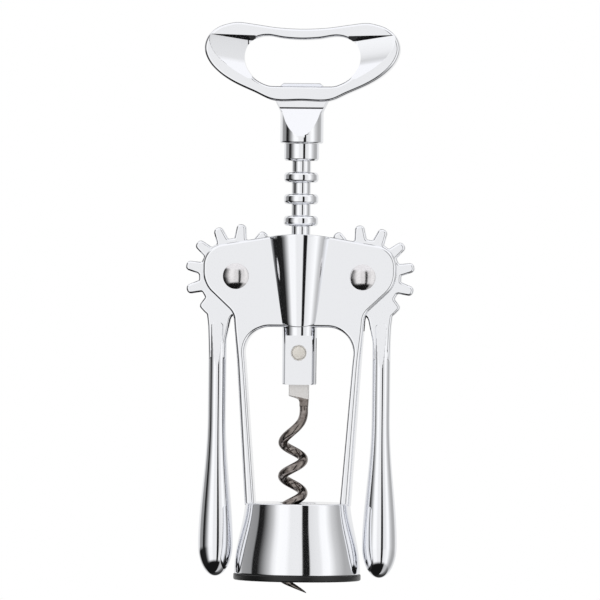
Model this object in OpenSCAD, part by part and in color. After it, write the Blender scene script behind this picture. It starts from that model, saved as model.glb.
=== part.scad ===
// Lever corkscrew: a toothed lever on each side drives a ringed rack up and down
// between two cheeks. Its origin is the centre of the bell's rim, +Z runs up the spindle
// and the levers lie along X. The levers hang down and the worm is drawn up at rest.

/* [Bell] */
// Diameter of the bell at its rim
bell_d = 38; // [34:0.5:48]
// Diameter of the bell at its shoulder
bell_top_d = 31.7; // [26:0.1:38]
// Height of the bell's shoulder above the rim
bell_h = 23.2; // [18:0.5:30]
// Wall of the bell
bell_wall = 1.4; // [1:0.1:2]
// Thickness of the plate that closes the bell's top
bell_plate_t = 2.2; // [1.5:0.1:4]

/* [Liner] */
// Wall of the plastic liner in the bell
liner_wall = 1.3; // [0.8:0.1:2]
// Thickness of the liner's flange under the rim
flange_t = 1.9; // [1:0.1:3]
// How far the flange stands out past the rim
flange_lip = 0.2; // [0:0.05:0.6]
// Height of the liner's top edge above the rim
liner_h = 14; // [8:0.5:16]

/* [Frame] */
// Height of the lever pivots above the rim
pivot_z = 91.3; // [80:0.5:110]
// Thickness of the frame's head, over both cheeks
head_t = 8.8; // [8:0.1:12]
// Radius of the round ends of the cheeks
lobe_r = 10; // [8:0.2:13]
// Height of the head's top above the pivots
head_rise = 12.7; // [12:0.1:15]
// Radius of the arch along the head's top
top_arch_r = 62; // [50:1:90]
// Height of the window's top below the gears' root circles
window_drop = 3.87; // [3.6:0.01:5.6]
// Corner radius at the window's top
window_r = 8; // [5:0.5:9]
// Wall of the rack guide at its narrow lower end
guide_wall = 1.3; // [1:0.1:2]
// Wall of the rack guide at its wide upper end
guide_top_wall = 4.7; // [3:0.1:6]
// Width of each leg, seen from the front
leg_w = 2.9; // [2.4:0.1:4]

/* [Rack] */
// Distance from ring to ring
rack_pitch = 6.54; // [5.5:0.02:8]
// Diameter of the rings
rack_d = 10.5; // [9.5:0.1:12]
// Diameter of the stem between the rings
stem_d = 5.8; // [5.4:0.1:6.4]
// Thickness of each ring
ring_t = 3.1; // [2.4:0.1:3.3]

/* [Gears] */
// Thickness of the toothed plates
gear_t = 4.2; // [3:0.1:5]
// Width of a tooth near its tip
tooth_tip_w = 2.8; // [2:0.1:3]
// Width of a tooth at its root
tooth_root_w = 3.5; // [2.8:0.1:4]
// How far the teeth reach past the pitch circle
tooth_reach = 2.17; // [1.8:0.01:2.4]
// Depth of the gaps between teeth below the pitch circle
tooth_root = 2.2; // [1.8:0.1:3]

/* [Levers] */
// Length of a lever from its pivot to its end
lever_len = 90.4; // [70:0.5:110]
// Diameter of the lever's arm at its thinnest
arm_d = 5.5; // [4.5:0.1:7]
// Diameter of the lever's rounded end
bulb_d = 10.5; // [8:0.1:12]
// Angle that each lever swings outwards and up
lever_swing = 115; // [90:1:115]

/* [Rivets] */
// Diameter of the pivot shanks
shank_d = 4; // [3:0.1:5]
// Diameter of the domed rivet heads
rivet_head_d = 7.8; // [7:0.1:9]
// Height of the domed rivet heads
rivet_head_h = 1.7; // [1.2:0.1:2.5]

/* [Spindle] */
// Diameter of the core rod inside the rack
core_d = 3.6; // [3:0.1:4]
// Length of the holder's block below the rack
block_len = 19.4; // [16:0.2:24]
// Distance between the block's two flats
flat_gap = 6.7; // [6:0.1:8]
// Height of the block's flats
flat_h = 14.8; // [12:0.2:18]
// Diameter of the pin through the block
pin_d = 4.2; // [3:0.1:5]
// Height of the pin above the block's lower end
pin_rise = 9.6; // [7:0.1:10]

/* [Worm] */
// Outside diameter of the worm
worm_d = 9; // [8:0.1:10]
// Distance from turn to turn
worm_pitch = 10.1; // [8:0.1:12]
// Diameter of the worm's wire
wire_d = 2.8; // [2.2:0.1:3.2]
// How far the worm's tip reaches below the rim
tip_below = 3.9; // [2:0.1:8]
// Width of the worm's flat shank
tang_w = 6; // [5:0.1:7]
// Length of the shank below the block
tang_drop = 3.9; // [2:0.1:6]
// Length of straight wire between the coil and the shank
wire_straight = 1.3; // [0.5:0.1:6]
// Height over which the coil's last half turn straightens
unwind_len = 10; // [7:0.1:14]

/* [Handle] */
// Width of the handle
handle_w = 58.9; // [50:0.5:72]
// Height of the handle above its neck
handle_h = 23.6; // [21:0.2:29]
// Thickness of the handle's plate
handle_t = 7.6; // [6:0.1:10]
// Diameter of the handle's hub
hub_d = 13; // [12:0.1:16]
// Height of the hub and neck together
neck_h = 12.7; // [11:0.1:16]
// Width of the opening in the handle
opening_w = 35; // [28:0.5:38]
// Height of the rim under the opening
lower_rim = 4.4; // [4:0.1:6]
// Height of the rim over the opening
upper_rim = 2.5; // [2:0.1:4]

/* [Clearances] */
// Radial clearance of every turning or sliding fit
fit = 0.05; // [0.02:0.01:0.1]
// Gap between a gear plate and each cheek
gear_side_gap = 0.3; // [0.2:0.05:0.5]
// Gap from tooth tips to the rack's stem and to the slots
tip_gap = 0.5; // [0.4:0.05:0.8]
// Gap between faces that turn on each other along the spindle
axial_gap = 0.1; // [0.05:0.05:0.2]
// Gap left between the handle's hub and the frame at the end of the swing
stop_gap = 0.3; // [0.1:0.1:1]
// Gap between the levers' rounded ends and the bell's widest rim
bulb_gap = 0.3; // [0.3:0.1:2]
// Gap between a lever's arm and the leg beside it
leg_gap = 2.4; // [1:0.1:4]
// Radial gap around the turning worm where it passes through the bell's top
worm_gap = 0.45; // [0.3:0.05:2.3]
// Gap between the liner and the inside of the bell
liner_gap = 0.05; // [0.03:0.01:0.1]

/* [Hidden] */

GEAR_TEETH = 13;     // teeth that a whole gear would have
TOOTH_PHASE = 2;     // angle of the meshing tooth above the horizontal at rest
RINGS_UP = 5;        // rings above the meshing gap
RINGS_DOWN = 2;      // rings below it
FINE = 96;
over = 0.5;          // how far a cut runs past the face that it opens
TANG_EDGE = 0.05;    // how far the wire's side lies inside the shank's edge
TANG_FOOT = 2.4;     // height of the shank's lower end, which narrows to the wire

pitch_r = rack_pitch * GEAR_TEETH / (2 * PI);
tip_r = pitch_r + tooth_reach;
root_r = pitch_r - tooth_root;
tooth_step = 360 / GEAR_TEETH;
pivot_x = stem_d / 2 + tip_gap + tip_r;
slot_r = tip_r + tip_gap;
slot_w = gear_t + 2 * gear_side_gap;
arm_offset = bell_d / 2 + flange_lip + bulb_gap + bulb_d / 2 - pivot_x;
coil_r = (worm_d - wire_d) / 2;
wire_x = (tang_w - wire_d) / 2 - TANG_EDGE;
coil_shift = coil_r - wire_x;
worm_hole_d = worm_d + 2 * (coil_shift + worm_gap);

bore_r = rack_d / 2 + fit;
guide_bottom_r = bore_r + guide_wall;
guide_top_r = bore_r + guide_top_wall;
head_top = pivot_z + head_rise;
window_top = pivot_z - root_r - window_drop;
foot_x = bell_top_d / 2 + 0.15;
leg_top_x = pivot_x + arm_offset - arm_d / 2 - leg_gap;
inner_knee = leg_top_x - leg_w;
leg_top_z = window_top - 0.6;

gap_z = pivot_z + pitch_r * TOOTH_PHASE * PI / 180;
top_ring_z = gap_z + (RINGS_UP - 0.5) * rack_pitch;
low_ring_z = gap_z - (RINGS_DOWN - 0.5) * rack_pitch;
collar_z = top_ring_z + rack_pitch - ring_t / 2;
hub_z = head_top + pitch_r * lever_swing * PI / 180 + stop_gap;
rack_top = hub_z - axial_gap;
rack_bottom = low_ring_z - rack_pitch / 2 - 0.4;
ring_round = ring_t * 0.3;

neck_top = hub_z + neck_h;
core_top = hub_z + neck_h * 0.6;
block_top = rack_bottom - axial_gap;
block_bottom = block_top - block_len;
pin_z = block_bottom + pin_rise;
slot_top = pin_z + pin_d / 2 + 2.4;

wire_r = wire_d / 2;
tang_bottom = block_bottom - tang_drop;

// Outer profile of the bell: narrow shoulder, flaring and then nearly upright to the rim
function bell_r(z) = bell_top_d / 2 + (bell_d - bell_top_d) / 2
    * pow(sin(90 * (bell_h - z) / (bell_h - flange_t)), 1.6);

BELL_STEPS = 12;
function bell_curve(inset, z_top) = [for (i = [0:BELL_STEPS])
    let (z = flange_t + (z_top - flange_t) * i / BELL_STEPS) [bell_r(z) - inset, z]];
function reversed(list) = [for (i = [len(list) - 1:-1:0]) list[i]];

// Smooth closed curve through the points, as a Catmull-Rom spline
function spline_at(a, b, c, d, t) = 0.5 * (2 * b + (c - a) * t
    + (2 * a - 5 * b + 4 * c - d) * t * t + (3 * b - a - 3 * c + d) * t * t * t);
function closed_curve(p, steps) = let (n = len(p)) [for (i = [0:n - 1], k = [0:steps - 1])
    spline_at(p[(i + n - 1) % n], p[i], p[(i + 1) % n], p[(i + 2) % n], k / steps)];
// A right half outline from bottom to top, completed by its mirror image
function both_halves(half) = concat(half, [for (p = reversed(half)) if (p.x > 0) [-p.x, p.y]]);

// Stands a drawing of the front view upright, centred on the plane y = 0
module upright(t) {
    rotate([90, 0, 0]) translate([0, 0, -t / 2]) linear_extrude(t) children();
}

// A round bar along Y through the point (x, z)
module cross_bar(x, z, d, len) {
    translate([x, 0, z]) rotate([90, 0, 0]) cylinder(d = d, h = len, center = true, $fn = FINE);
}

module bell() {
    inner_top = bell_h - bell_plate_t;
    rotate_extrude($fn = FINE) polygon(concat(
        bell_curve(0, bell_h - 0.5),
        [[bell_top_d / 2 - 0.4, bell_h], [worm_hole_d / 2, bell_h], [worm_hole_d / 2, inner_top]],
        reversed(bell_curve(bell_wall, inner_top))));
}

module cheek_outline() {
    for (side = [0, 1]) mirror([side, 0]) {
        translate([pivot_x, pivot_z]) circle(r = lobe_r, $fn = FINE);
        polygon([[0, window_top], [inner_knee - window_r, window_top], [leg_top_x, leg_top_z],
            [leg_top_x + 0.6, pivot_z - lobe_r], [pivot_x + 4, pivot_z - lobe_r + 1.1],
            [pivot_x, pivot_z], [pivot_x + 3.8, pivot_z + lobe_r - 0.9], [0, head_top + over],
            [0, window_top]]);
    }
}

// Two legs as one outline; the window between them is cut out afterwards
module legs_outline() {
    polygon([[-foot_x, bell_h - 0.6], [foot_x, bell_h - 0.6], [leg_top_x, leg_top_z],
        [leg_top_x, leg_top_z + 2], [-leg_top_x, leg_top_z + 2], [-leg_top_x, leg_top_z]]);
}

module window_outline() {
    inner_foot = foot_x - leg_w;
    knee_z = window_top - window_r;
    polygon([[-inner_foot, bell_h - bell_plate_t], [inner_foot, bell_h - bell_plate_t],
        [inner_knee, knee_z], [-inner_knee, knee_z]]);
    for (side = [-1, 1])
        translate([side * (inner_knee - window_r), knee_z]) circle(r = window_r, $fn = FINE);
    translate([window_r - inner_knee, knee_z - 0.1])
        square([2 * (inner_knee - window_r), window_r + 0.1]);
}

module frame() color("gainsboro") {
    guide_h = head_top - window_top;
    difference() {
        union() {
            intersection() {
                union() {
                    difference() {
                        upright(head_t) cheek_outline();
                        upright(head_t + 1) window_outline();
                    }
                    translate([0, 0, window_top])
                        cylinder(r1 = guide_bottom_r, r2 = guide_top_r, h = guide_h + over,
                            $fn = FINE);
                }
                cross_bar(0, head_top - top_arch_r, 2 * top_arch_r, 4 * guide_top_r);
            }
            intersection() {
                difference() {
                    upright(head_t) legs_outline();
                    upright(head_t + 1) window_outline();
                }
                translate([0, 0, bell_h - 1]) cylinder(r1 = foot_x,
                    r2 = leg_top_x + 0.9, h = leg_top_z + 3 - bell_h, $fn = FINE);
            }
        }
        translate([0, 0, window_top - 1]) cylinder(r = bore_r, h = guide_h + 2, $fn = FINE);
        for (side = [-1, 1]) {
            cross_bar(side * pivot_x, pivot_z, 2 * slot_r, slot_w);
            cross_bar(side * pivot_x, pivot_z, shank_d, head_t + 1);
        }
    }
    bell();
}

module bell_liner() color("black") {
    outer = bell_curve(bell_wall + liner_gap, liner_h);
    inner = bell_curve(bell_wall + liner_gap + liner_wall, liner_h);
    rim_r = bell_d / 2 + flange_lip;
    mouth_r = inner[0].x;
    rotate_extrude($fn = FINE) polygon(concat(
        [[mouth_r + 0.4, 0], [rim_r - 0.5, 0], [rim_r, 0.5], [rim_r, flange_t - 0.4],
            [rim_r - 0.4, flange_t]],
        outer, reversed(inner), [[mouth_r, 0.4]]));
}

// One tooth along +X from the gear's centre, with a round tip
module tooth(reach) {
    tip_c = reach - tooth_tip_w / 2;
    polygon([[0, -tooth_root_w / 2], [root_r, -tooth_root_w / 2], [tip_c, -tooth_tip_w / 2],
        [tip_c, tooth_tip_w / 2], [root_r, tooth_root_w / 2], [0, tooth_root_w / 2]]);
    translate([tip_c, 0]) circle(d = tooth_tip_w, $fn = FINE);
}

TEETH_FIRST = -1;    // the tooth below the meshing one
TEETH_LAST = 7;      // the last whole tooth, counted round over the top
module gear_outline() {
    circle(r = root_r, $fn = FINE);
    for (k = [TEETH_FIRST:TEETH_LAST]) rotate(180 - TOOTH_PHASE - k * tooth_step) tooth(tip_r);
    rotate(180 - TOOTH_PHASE - (TEETH_LAST + 1) * tooth_step) tooth(tip_r - 1.7);
}

// Half width of the arm at a height above the lever's end: a rounded bulb that tapers
BULB_RISE = 9.6;     // height of the bulb's widest point
TAPER_LEN = 39;      // length over which the bulb narrows to the arm
function arm_radius(u) = u < BULB_RISE
    ? bulb_d / 2 * sqrt(1 - pow((BULB_RISE - u) / BULB_RISE, 2))
    : arm_d / 2 + (bulb_d - arm_d) / 4 * (1 + cos(180 * min(1, (u - BULB_RISE) / TAPER_LEN)));

module arm() {
    arm_h = lever_len - root_r - 5;
    low = [for (i = [0:9]) BULB_RISE * (1 - cos(90 * i / 9))];
    high = [for (i = [1:14]) BULB_RISE + TAPER_LEN * i / 14];
    heights = concat(low, high, [arm_h]);
    translate([arm_offset, 0, -lever_len]) rotate_extrude($fn = FINE)
        polygon(concat([for (u = heights) [arm_radius(u), u]],
            [[arm_d / 2 - 1.2, arm_h + 1.4], [0, arm_h + 1.8]]));
}

module gear_neck_outline() {
    inner = arm_offset - arm_d / 2;
    outer = arm_offset + arm_d / 2;
    polygon([[-2, -root_r + 1.5], [inner - 1.7, -root_r - 0.6], [inner + 0.1, -root_r - 7],
        [inner + 0.4, -root_r - 11], [outer - 0.4, -root_r - 11], [outer + 0.3, -root_r - 2],
        [outer + 0.6, -root_r + 1.4], [outer, 0], [0, 0]]);
}

// A right-hand lever with its pivot at the origin
module lever() {
    difference() {
        union() {
            upright(gear_t) {
                gear_outline();
                gear_neck_outline();
            }
            arm();
        }
        cross_bar(0, 0, shank_d + 2 * fit, gear_t + 1);
    }
}

module right_lever() color("silver") translate([pivot_x, 0, pivot_z]) lever();

module left_lever() color("silver") mirror([1, 0, 0]) translate([pivot_x, 0, pivot_z]) lever();

// A dome of the rivet heads' size standing on the plane z = 0
module dome() {
    r = (rivet_head_d * rivet_head_d / 4 + rivet_head_h * rivet_head_h) / (2 * rivet_head_h);
    intersection() {
        translate([0, 0, rivet_head_h - r]) sphere(r = r, $fn = FINE);
        cylinder(d = rivet_head_d, h = rivet_head_h + 1, $fn = FINE);
    }
}

module pivot_rivet() {
    rotate([90, 0, 0]) {
        translate([0, 0, head_t / 2]) dome();
        translate([0, 0, -head_t / 2]) cylinder(d = shank_d, h = head_t, $fn = FINE);
    }
}

module rivet_cap() {
    rotate([-90, 0, 0]) translate([0, 0, head_t / 2]) dome();
}

module left_pivot_rivet() color("darkgray") translate([-pivot_x, 0, pivot_z]) pivot_rivet();

module right_pivot_rivet() color("darkgray") translate([pivot_x, 0, pivot_z]) pivot_rivet();

module left_rivet_cap() color("darkgray") translate([-pivot_x, 0, pivot_z]) rivet_cap();

module right_rivet_cap() color("darkgray") translate([pivot_x, 0, pivot_z]) rivet_cap();

// Half section of one ring with rounded shoulders, from its lower to its upper edge
function ring_section(z) = let (h = ring_t / 2, r = rack_d / 2) concat(
    [[stem_d / 2, z - h]],
    [for (a = [-90:30:0]) [r - ring_round + ring_round * cos(a), z - h + ring_round * (1 + sin(a))]],
    [for (a = [0:30:90]) [r - ring_round + ring_round * cos(a), z + h - ring_round * (1 - sin(a))]],
    [[stem_d / 2, z + h]]);

module rack() color("silver") {
    rings = [for (k = [0:RINGS_UP + RINGS_DOWN - 1]) each ring_section(low_ring_z + k * rack_pitch)];
    r = rack_d / 2;
    rotate_extrude($fn = FINE) polygon(concat(
        [[core_d / 2 + fit, rack_bottom], [stem_d / 2, rack_bottom]], rings,
        [[stem_d / 2, collar_z], [r - 0.5, collar_z], [r, collar_z + 0.5], [r, rack_top],
            [core_d / 2 + fit, rack_top]]));
}

module worm_holder() color("silver") {
    r = rack_d / 2;
    cut = rack_d;
    difference() {
        union() {
            rotate_extrude($fn = FINE) polygon([[0, block_bottom], [r - 0.4, block_bottom],
                [r, block_bottom + 0.4], [r, block_top - 0.4], [r - 0.4, block_top],
                [0, block_top]]);
            translate([0, 0, block_top - over])
                cylinder(d = core_d, h = core_top - block_top + over, $fn = FINE);
        }
        for (side = [-1, 1]) translate([-cut, side * (flat_gap + cut) / 2 - cut / 2, block_bottom - 1])
            cube([2 * cut, cut, flat_h + 1]);
        translate([-cut, -wire_r - fit, block_bottom - 1])
            cube([2 * cut, wire_d + 2 * fit, slot_top - block_bottom + 1]);
        cross_bar(0, pin_z, pin_d, cut);
    }
}

module worm_pin() color("white") cross_bar(0, pin_z, pin_d, flat_gap);

COIL_SIDES = 8;
COIL_STEPS = 20;     // rings of the coil's tube in one turn
WIRE_SLIM = 0.3;     // how much thinner the straight wire is than the coil
UNWIND_STEPS = 16;   // rings of the tube where the coil straightens
UNWIND = 1.5;        // how quickly it straightens
coil_top = tang_bottom - TANG_FOOT - wire_straight;
wound_top = coil_top - unwind_len;
wound_rings = round(COIL_STEPS * (wound_top + tip_below) / worm_pitch);
coil_heights = concat(
    [for (i = [0:wound_rings - 1]) -tip_below + (wound_top + tip_below) * i / wound_rings],
    [for (i = [0:UNWIND_STEPS]) wound_top + unwind_len * i / UNWIND_STEPS]);
// Direction of the wire round the coil's axis: its last half turn ends at the shank's edge
function coil_angle(z) = 180 + (z < wound_top ? 360 * (z - wound_top) / worm_pitch
    : 180 * (1 - pow(max(0, coil_top - z) / unwind_len, UNWIND)));
// The wire's centre line, a right-handed helix beside the spindle's axis
function coil_point(z) = [coil_r * cos(coil_angle(z)) - coil_shift, coil_r * sin(coil_angle(z)), z];
function unit(v) = v / norm(v);
TIP_TURNS = 0.55;    // share of a turn over which the wire tapers to its tip
function wire_radius(z) =
    wire_r * min(1, 0.12 + 0.88 * pow((z + tip_below) / (worm_pitch * TIP_TURNS), 0.7));
// Each ring is squared to the direction out from the coil's axis, which the wire never follows
function coil_ring(z) =
    let (near = worm_pitch / COIL_STEPS / 4, t = unit(coil_point(min(z + near, coil_top))
        - coil_point(z - near)), a = coil_angle(z), v = unit(cross(t, [cos(a), sin(a), 0])),
        u = cross(v, t))
    [for (s = [0:COIL_SIDES - 1]) coil_point(z)
        + wire_radius(z) * (cos(360 * s / COIL_SIDES) * u + sin(360 * s / COIL_SIDES) * v)];

module coil() {
    points = [for (z = coil_heights) each coil_ring(z)];
    last = len(coil_heights) - 1;
    faces = concat(
        [[for (s = [0:COIL_SIDES - 1]) s]],
        [for (i = [0:last - 1], s = [0:COIL_SIDES - 1]) let (n = (s + 1) % COIL_SIDES)
            [i * COIL_SIDES + n, i * COIL_SIDES + s, (i + 1) * COIL_SIDES + s, (i + 1) * COIL_SIDES + n]],
        [[for (s = [COIL_SIDES - 1:-1:0]) last * COIL_SIDES + s]]);
    polyhedron(points, faces, convexity = 10);
}

module worm() color("dimgray") {
    wire_foot = coil_top - over;
    difference() {
        union() {
            coil();
            translate([wire_x, 0, wire_foot])
                cylinder(d = wire_d - WIRE_SLIM, h = tang_bottom + over - wire_foot, $fn = FINE);
            translate([0, wire_r, 0]) rotate([90, 0, 0]) linear_extrude(wire_d) {
                polygon([[-tang_w / 2, tang_bottom], [wire_x - wire_r, tang_bottom - TANG_FOOT],
                    [wire_x + wire_r - 0.2, tang_bottom - TANG_FOOT], [tang_w / 2, tang_bottom - 1],
                    [tang_w / 2, slot_top - 1.2], [tang_w / 2 - 1, slot_top - 0.3],
                    [1 - tang_w / 2, slot_top - 0.3], [-tang_w / 2, slot_top - 1.2]]);
            }
        }
        cross_bar(0, pin_z, pin_d, 2 * wire_d);
    }
}

// Right half of the handle's outline as shares of its half width and its height, from the
// middle of the neck round the grip's end to the dip in the top
HANDLE_HALF = [[0, 0], [0.275, 0], [0.49, 0.11], [0.7, 0.23], [0.85, 0.355], [0.955, 0.5],
    [1, 0.665], [0.965, 0.82], [0.87, 0.93], [0.745, 0.985], [0.64, 1], [0.48, 0.975],
    [0.25, 0.935], [0, 0.92]];
HANDLE_SMOOTH = 4;

module handle_outline() {
    half = [for (p = HANDLE_HALF) [p.x * handle_w / 2, p.y * handle_h]];
    polygon(closed_curve(both_halves(half), HANDLE_SMOOTH));
}

// The opening follows the dip in the handle's top and has a lip for caps at its foot
OPENING_HALF = [[0, 0.06], [0.2, 0.06], [0.36, 0.0], [0.6, 0.02], [0.82, 0.16], [0.97, 0.4],
    [1, 0.64], [0.93, 0.86], [0.78, 0.98], [0.58, 1.02], [0.3, 0.97], [0, 0.95]];
module opening_outline() {
    h = handle_h * 0.92 - lower_rim - upper_rim;
    half = [for (p = OPENING_HALF) [p.x * opening_w / 2, lower_rim + p.y * h]];
    polygon(closed_curve(both_halves(half), HANDLE_SMOOTH));
}

module handle() color("gainsboro") {
    flare = handle_w * HANDLE_HALF[1].x / 2;
    hub_r = hub_d / 2;
    cut = 2 * hub_d;
    cut_low = 2.2;                       // height of the cuts' lowest point above the hub's foot
    cut_in = hub_r - 2.2;                // depth of the cuts at the neck's top
    cut_tilt = atan(cut_in / (neck_h - cut_low - 1.4));
    difference() {
        union() {
            translate([0, 0, neck_top]) upright(handle_t) handle_outline();
            difference() {
                rotate_extrude($fn = FINE) polygon([[0, hub_z], [hub_r - 0.6, hub_z],
                    [hub_r, hub_z + 0.6], [hub_r, neck_top - 4], [hub_r + 0.4, neck_top - 2.2],
                    [flare, neck_top], [flare, neck_top + 0.6], [0, neck_top + 0.6]]);
                for (side = [0, 1]) mirror([0, side, 0])
                    translate([-cut / 2, -hub_r, hub_z + cut_low]) rotate([-cut_tilt, 0, 0])
                        translate([0, -cut, 0]) cube([cut, cut, cut]);
            }
        }
        translate([0, 0, neck_top]) upright(handle_t + 1) opening_outline();
        translate([0, 0, hub_z - 1]) cylinder(d = core_d, h = core_top - hub_z + 1, $fn = FINE);
    }
}

frame();
bell_liner();
left_lever();
right_lever();
left_pivot_rivet();
right_pivot_rivet();
left_rivet_cap();
right_rivet_cap();
rack();
worm_holder();
worm();
worm_pin();
handle();
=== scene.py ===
# Looks of a lever corkscrew: chromed frame, levers, rack and handle around a steel worm
import math
import bmesh
import bpy
import numpy as np
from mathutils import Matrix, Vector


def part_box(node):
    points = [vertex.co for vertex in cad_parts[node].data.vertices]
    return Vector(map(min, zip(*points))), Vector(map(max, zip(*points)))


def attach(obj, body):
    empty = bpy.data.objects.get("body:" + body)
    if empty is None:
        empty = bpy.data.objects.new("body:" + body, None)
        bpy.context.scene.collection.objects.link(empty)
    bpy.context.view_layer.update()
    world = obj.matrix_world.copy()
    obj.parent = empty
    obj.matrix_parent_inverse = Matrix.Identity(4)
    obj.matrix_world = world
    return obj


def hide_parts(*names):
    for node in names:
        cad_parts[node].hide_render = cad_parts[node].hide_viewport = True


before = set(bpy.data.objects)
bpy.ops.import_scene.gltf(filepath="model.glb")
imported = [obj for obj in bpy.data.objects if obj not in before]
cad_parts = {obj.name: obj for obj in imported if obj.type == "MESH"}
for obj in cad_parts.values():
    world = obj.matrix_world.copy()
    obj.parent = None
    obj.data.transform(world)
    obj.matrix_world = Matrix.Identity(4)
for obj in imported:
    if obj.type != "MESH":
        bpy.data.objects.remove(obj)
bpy.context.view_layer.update()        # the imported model: sizes below are millimetres in its frame, except the view's
mm = 0.001


# ---- the object's main places, read from the frame ----
def nodeBox(node):
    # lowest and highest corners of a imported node, in millimetres
    low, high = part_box(node)
    return np.array(low) / mm, np.array(high) / mm


rivetLow, rivetHigh = nodeBox("right_pivot_rivet")
pivotX, pivotZ = (rivetLow[0] + rivetHigh[0]) / 2, (rivetLow[2] + rivetHigh[2]) / 2
frameHigh = nodeBox("frame")[1]
rackLow, rackHigh = nodeBox("rack")
holderLow, holderHigh = nodeBox("worm_holder")
wormLow = nodeBox("worm")[0]
handleLow, handleHigh = nodeBox("handle")
linerHigh = nodeBox("bell_liner")[1]
leverLow = nodeBox("right_lever")[0]
pinLow, pinHigh = nodeBox("worm_pin")
pinZ = (pinLow[2] + pinHigh[2]) / 2


# ---- mesh making ----
def gridFaces(rows, columns, closeRows, closeColumns):
    # four-cornered faces between neighbouring rows and columns of a grid, wrapped where it closes
    r = np.arange(rows if closeRows else rows - 1)
    c = np.arange(columns if closeColumns else columns - 1)
    r, c = np.meshgrid(r, c, indexing="ij")
    r2, c2 = (r + 1) % rows, (c + 1) % columns
    corners = np.stack([r * columns + c, r * columns + c2, r2 * columns + c2, r2 * columns + c], -1)
    return corners.reshape(-1, 4)


def meshFrom(name, points, faces, caps=()):
    # an object at the origin from points in millimetres, quads and closing caps, with faces turned outwards
    mesh = bpy.data.meshes.new(name)
    mesh.from_pydata((points.reshape(-1, 3) * mm).tolist(), [], faces.tolist() + [list(c) for c in caps])
    obj = bpy.data.objects.new(name, mesh)
    bpy.context.scene.collection.objects.link(obj)
    tidyMesh(obj)
    return obj


def tidyMesh(obj, near=2e-7):
    # points that share a place are merged, and the normals are turned outwards
    bm = bmesh.new()
    bm.from_mesh(obj.data)
    bmesh.ops.remove_doubles(bm, verts=bm.verts, dist=near)
    bmesh.ops.dissolve_degenerate(bm, edges=bm.edges, dist=near)
    bmesh.ops.recalc_face_normals(bm, faces=bm.faces)
    bm.to_mesh(obj.data)
    bm.free()


def arcBetween(before, corner, after, radius, step):
    # the corner's arc: tangent to both sides at radius / tan(half the angle) from the corner
    a, b = before - corner, after - corner
    la, lb = np.linalg.norm(a), np.linalg.norm(b)
    a, b = a / la, b / lb
    half = math.acos(float(np.clip(a @ b, -1, 1))) / 2
    if radius <= 0 or half > math.pi / 2 - 1e-3:
        return corner[None]
    reach = min(radius / math.tan(half), 0.499 * min(la, lb))
    radius = reach * math.tan(half)
    middle = (a + b) / np.linalg.norm(a + b)
    centre = corner + middle * radius / math.sin(half)
    start, end = corner + a * reach - centre, corner + b * reach - centre
    sweep = math.pi - 2 * half
    t = np.linspace(0, 1, max(4, int(sweep * radius / step) + 2))[:, None]
    return centre + (start * np.sin((1 - t) * sweep) + end * np.sin(t * sweep)) / math.sin(sweep)


def rounded(corners, closed=True, step=0.35, longest=None):
    # corners (x, z, radius) joined by straight sides, each corner replaced by its arc
    p = np.array([c[:2] for c in corners], float)
    r = [c[2] if len(c) > 2 else 0 for c in corners]
    n = len(p)
    arcs = [arcBetween(p[i - 1], p[i], p[(i + 1) % n], r[i], step)
            if closed or 0 < i < n - 1 else p[i][None] for i in range(n)]
    path = np.concatenate(arcs)
    return split(path, closed, longest) if longest else path


def split(path, closed, longest):
    # extra points along sides longer than the given length, equally spaced
    ends = np.roll(path, -1, axis=0) if closed else path[1:]
    starts = path if closed else path[:-1]
    count = np.maximum(1, np.ceil(np.linalg.norm(ends - starts, axis=1) / longest).astype(int))
    index = np.repeat(np.arange(len(starts)), count)
    share = (np.arange(len(index)) - np.repeat(np.cumsum(count) - count, count)) / count[index]
    points = starts[index] + (ends - starts)[index] * share[:, None]
    return points if closed else np.concatenate([points, path[-1:]])


def throughPoints(points, each, closed=True):
    # Catmull-Rom spline: cubic pieces through the points, with slopes of half the neighbours' difference
    p = np.array(points, float)
    if not closed:
        p = np.concatenate([2 * p[:1] - p[1:2], p, 2 * p[-1:] - p[-2:-1]])
    before, after, last = np.roll(p, 1, 0), np.roll(p, -1, 0), np.roll(p, -2, 0)
    t = (np.arange(each) / each)[None, :, None]
    a, b, c, d = (q[:, None] for q in (before, p, after, last))
    curve = 0.5 * (2 * b + (c - a) * t + (2 * a - 5 * b + 4 * c - d) * t ** 2
                   + (3 * b - a - 3 * c + d) * t ** 3)
    if closed:
        return curve.reshape(-1, 2)
    return np.concatenate([curve[1:-2].reshape(-1, 2), p[-2:-1]])


def mirrored(half):
    # a right half from bottom to top, completed by its mirror image in x
    half = np.asarray(half, float)
    other = half[half[:, 0] > 1e-6][::-1] * [-1, 1]
    return np.concatenate([half, other])


def outwards(path):
    # for each point of a closed path, the step that moves both its sides out by one unit
    edge = np.roll(path, -1, axis=0) - path
    edge = edge / np.linalg.norm(edge, axis=1)[:, None]
    normal = np.stack([edge[:, 1], -edge[:, 0]], 1)
    area = np.sum(path[:, 0] * np.roll(path[:, 1], -1) - np.roll(path[:, 0], -1) * path[:, 1])
    normal = normal * np.sign(area)
    previous = np.roll(normal, 1, axis=0)
    return (normal + previous) / (1 + np.sum(normal * previous, axis=1))[:, None]


def plate(name, path, section):
    # an upright plate: the section's (y, offset) pairs carried round the closed path in the x-z plane
    out = outwards(path)
    y = np.array([s[0] for s in section])[:, None] * np.ones(len(path))
    xz = path[None] + np.array([s[1] for s in section])[:, None, None] * out[None]
    points = np.stack([xz[..., 0], y, xz[..., 1]], -1)
    rows, columns = len(section), len(path)
    last = (rows - 1) * columns
    return meshFrom(name, points, gridFaces(rows, columns, False, True),
                    [range(columns), range(last + columns - 1, last - 1, -1)])


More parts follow.
